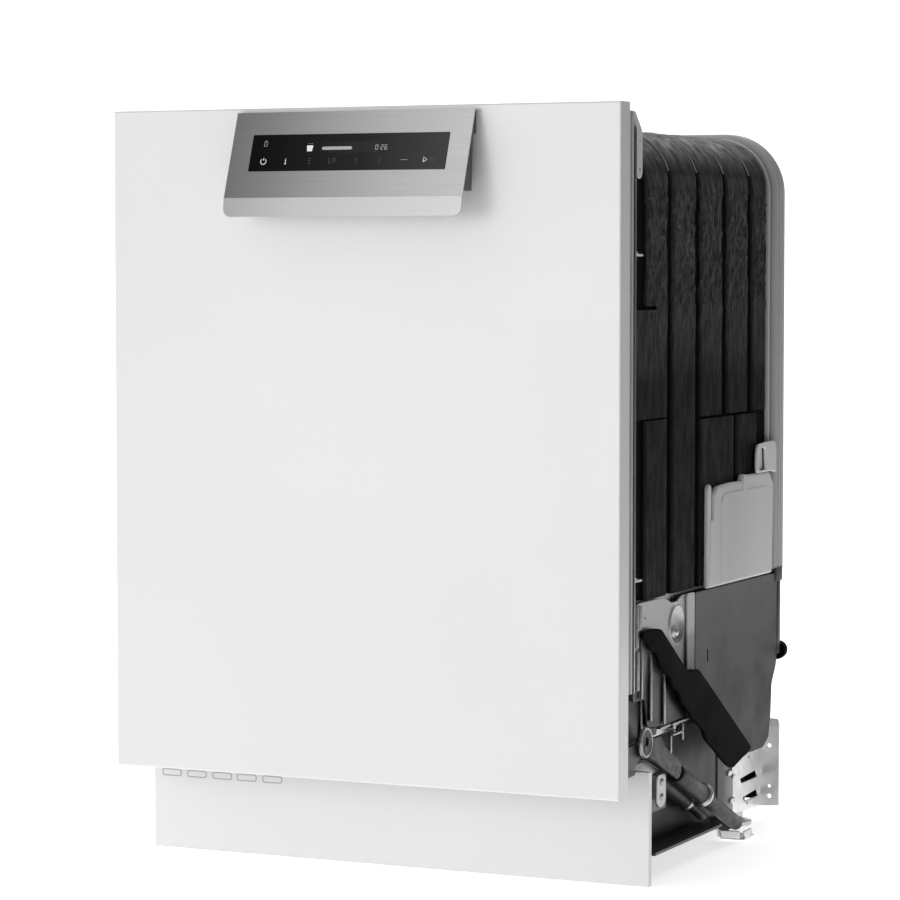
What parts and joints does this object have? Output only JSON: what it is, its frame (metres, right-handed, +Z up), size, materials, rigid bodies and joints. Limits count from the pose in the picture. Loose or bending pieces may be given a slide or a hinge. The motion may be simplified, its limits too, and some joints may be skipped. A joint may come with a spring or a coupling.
{
  "type": "built in dishwasher",
  "caption": "Built-in dishwasher with a bottom-hinged door, a tilted control fascia that forms the grip, racks on wheels and rails, rotating spray arms and levelling feet.",
  "frame": {"origin": "on the floor, under the middle of the object's box, with the door closed and the feet wound in", "axes": "+Z up, +X to the right as seen from the front, so the door faces -Y"},
  "size_m": [0.596, 0.59, 0.82],
  "materials": {
    "white_enamel": "satin enamel",
    "brushed_stainless": "brushed, vertical grain",
    "tub_stainless": "satin sheet",
    "galvanised": "galvanised sheet",
    "bitumen": "crinkled, glossy to matte",
    "black_plastic": "moulded",
    "dark_grey_plastic": "moulded",
    "light_grey_plastic": "moulded, slightly translucent",
    "seal_rubber": "matte",
    "black_glass": "polished",
    "coated_wire": "nylon coated",
    "machined_steel": "zinc plated",
    "motor_metal": "die cast",
    "felt": "matted felt",
    "circuit_board": "solder mask"
  },
  "bodies": {
    "cabinet": {"air_break": "light_grey_plastic", "base_tray": "black_plastic", "bitumen_mats": "bitumen", "cabinet_brackets": "galvanised", "cable_guards": "black_plastic", "circulation_pump": "motor_metal", "door_gasket": "seal_rubber", "drain_pump": "light_grey_plastic", "drain_spigot": "light_grey_plastic", "feed_pipe": "dark_grey_plastic", "filter_plate": "tub_stainless", "flow_heater": "motor_metal", "foot_sockets": "black_plastic", "front_frame": "galvanised", "hinge_brackets": "galvanised", "hinge_plates": "galvanised", "inlet_valve": "light_grey_plastic", "latch_hook": "black_plastic", "rear_legs": "galvanised", "rear_rim": "tub_stainless", "side_shields": "dark_grey_plastic", "spray_column": "black_plastic", "spring_tubes": "machined_steel", "sump": "dark_grey_plastic", "toe_kick": "white_enamel", "toe_kick_pad": "black_plastic", "tub_back": "tub_stainless", "tub_floor": "tub_stainless", "tub_wrapper": "tub_stainless", "upper_rails": "tub_stainless", "water_reservoir": "light_grey_plastic"},
    "door": {"door_skin": "white_enamel", "door_liner": "tub_stainless", "door_insulation": "felt", "door_side_trims": "light_grey_plastic", "control_fascia": "brushed_stainless", "control_housing": "dark_grey_plastic", "display_glass": "black_glass", "control_board": "circuit_board", "door_latch": "light_grey_plastic", "dispenser_body": "light_grey_plastic", "hinge_levers": "machined_steel"},
    "dispenser_lid": {"dispenser_lid": "light_grey_plastic"},
    "rinse_cap": {"rinse_cap": "light_grey_plastic"},
    "upper_rack": {"upper_rack": "coated_wire", "upper_rack_rollers": "dark_grey_plastic", "upper_spray_hanger": "dark_grey_plastic"},
    "upper_spray_arm": {"upper_spray_arm": "dark_grey_plastic"},
    "lower_rack": {"lower_rack": "coated_wire", "lower_rack_axles": "dark_grey_plastic", "cutlery_basket": "dark_grey_plastic"},
    "rack_wheels_front": {"rack_wheels_front": "dark_grey_plastic"},
    "rack_wheels_rear": {"rack_wheels_rear": "dark_grey_plastic"},
    "lower_spray_arm": {"lower_spray_arm": "dark_grey_plastic"},
    "filter_cup": {"filter_cup": "black_plastic"},
    "spring_links": {"spring_links": "machined_steel"},
    "foot_front_left": {"foot_front_left": "machined_steel"},
    "foot_front_right": {"foot_front_right": "machined_steel"},
    "foot_rear_left": {"foot_rear_left": "machined_steel"},
    "foot_rear_right": {"foot_rear_right": "machined_steel"}
  },
  "joints": [
    {"name": "door_hinge", "type": "hinge", "parent": "cabinet", "child": "door", "pos_m": [0, -0.206, 0.13], "axis": [1, 0, 0], "range_deg": [0, 90], "stiffness_Nm_per_rad": 28},
    {"name": "dispenser_lid_slide", "type": "slide", "parent": "door", "child": "dispenser_lid", "axis": [0, 0, 1], "range_m": [0, 0.075]},
    {"name": "rinse_cap_turn", "type": "hinge", "parent": "door", "child": "rinse_cap", "pos_m": [0.046, -0.201, 0.486], "axis": [0, 1, 0], "range_deg": [0, 90]},
    {"name": "upper_rack_slide", "type": "slide", "parent": "cabinet", "child": "upper_rack", "axis": [0, -1, 0], "range_m": [0, 0.3]},
    {"name": "upper_spray_turn", "type": "hinge", "parent": "upper_rack", "child": "upper_spray_arm", "pos_m": [0, 0.039, 0.448], "axis": [0, 0, 1], "continuous": true},
    {"name": "lower_rack_slide", "type": "slide", "parent": "cabinet", "child": "lower_rack", "axis": [0, -1, 0], "range_m": [0, 0.185]},
    {"name": "rack_wheels_front_turn", "type": "hinge", "parent": "lower_rack", "child": "rack_wheels_front", "pos_m": [0, -0.061, 0.1693], "axis": [1, 0, 0], "range_deg": [0, 620]},
    {"name": "rack_wheels_rear_turn", "type": "hinge", "parent": "lower_rack", "child": "rack_wheels_rear", "pos_m": [0, 0.149, 0.1693], "axis": [1, 0, 0], "range_deg": [0, 620]},
    {"name": "lower_spray_turn", "type": "hinge", "parent": "cabinet", "child": "lower_spray_arm", "pos_m": [0, 0.039, 0.188], "axis": [0, 0, 1], "continuous": true},
    {"name": "filter_twist", "type": "hinge", "parent": "cabinet", "child": "filter_cup", "pos_m": [0, -0.005, 0.138], "axis": [0, 0, 1], "range_deg": [0, 90]},
    {"name": "spring_link_slide", "type": "slide", "parent": "cabinet", "child": "spring_links", "axis": [0, -0.915, 0.4035], "range_m": [0, 0.0625]},
    {"name": "foot_front_left_height", "type": "slide", "parent": "cabinet", "child": "foot_front_left", "axis": [0, 0, -1], "range_m": [0, 0.05]},
    {"name": "foot_front_right_height", "type": "slide", "parent": "cabinet", "child": "foot_front_right", "axis": [0, 0, -1], "range_m": [0, 0.05]},
    {"name": "foot_rear_left_height", "type": "slide", "parent": "cabinet", "child": "foot_rear_left", "axis": [0, 0, -1], "range_m": [0, 0.05]},
    {"name": "foot_rear_right_height", "type": "slide", "parent": "cabinet", "child": "foot_rear_right", "axis": [0, 0, -1], "range_m": [0, 0.05]}
  ],
  "couplings": [
    {"joint": "upper_rack_slide", "follows": "door_hinge", "m_per_rad": 0.19},
    {"joint": "lower_rack_slide", "follows": "door_hinge", "m_per_rad": 0.115},
    {"joint": "rack_wheels_front_turn", "follows": "door_hinge", "ratio": 6.7647},
    {"joint": "rack_wheels_rear_turn", "follows": "door_hinge", "ratio": 6.7647},
    {"joint": "spring_link_slide", "follows": "door_hinge", "m_per_rad": 0.039614}
  ]
}
